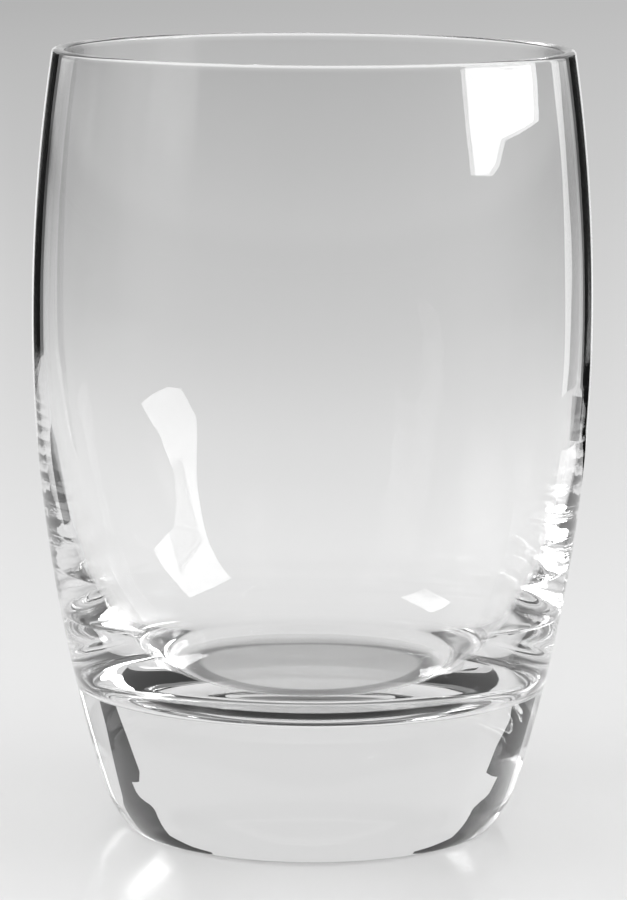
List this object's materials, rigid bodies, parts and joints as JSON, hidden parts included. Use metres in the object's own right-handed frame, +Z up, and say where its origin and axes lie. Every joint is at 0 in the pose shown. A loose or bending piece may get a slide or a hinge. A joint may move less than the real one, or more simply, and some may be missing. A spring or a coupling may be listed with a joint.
{
  "type": "rocks glass",
  "caption": "Barrel-shaped clear drinking tumbler with a thin fire-polished lip, a flat inner floor and a heavy solid base, standing on a flat underside.",
  "frame": {"origin": "centre of the flat underside, on the surface that the glass stands on", "axes": "+Z up along the axis of the glass, from the underside to the mouth; the glass is round, so X and Y are free"},
  "size_m": [0.077, 0.077, 0.1074],
  "materials": {
    "clear_glass": "clear, blown and fire-polished"
  },
  "bodies": {
    "root": {"heavy_base": "clear_glass", "bowl": "clear_glass", "rim": "clear_glass"}
  },
  "joints": []
}
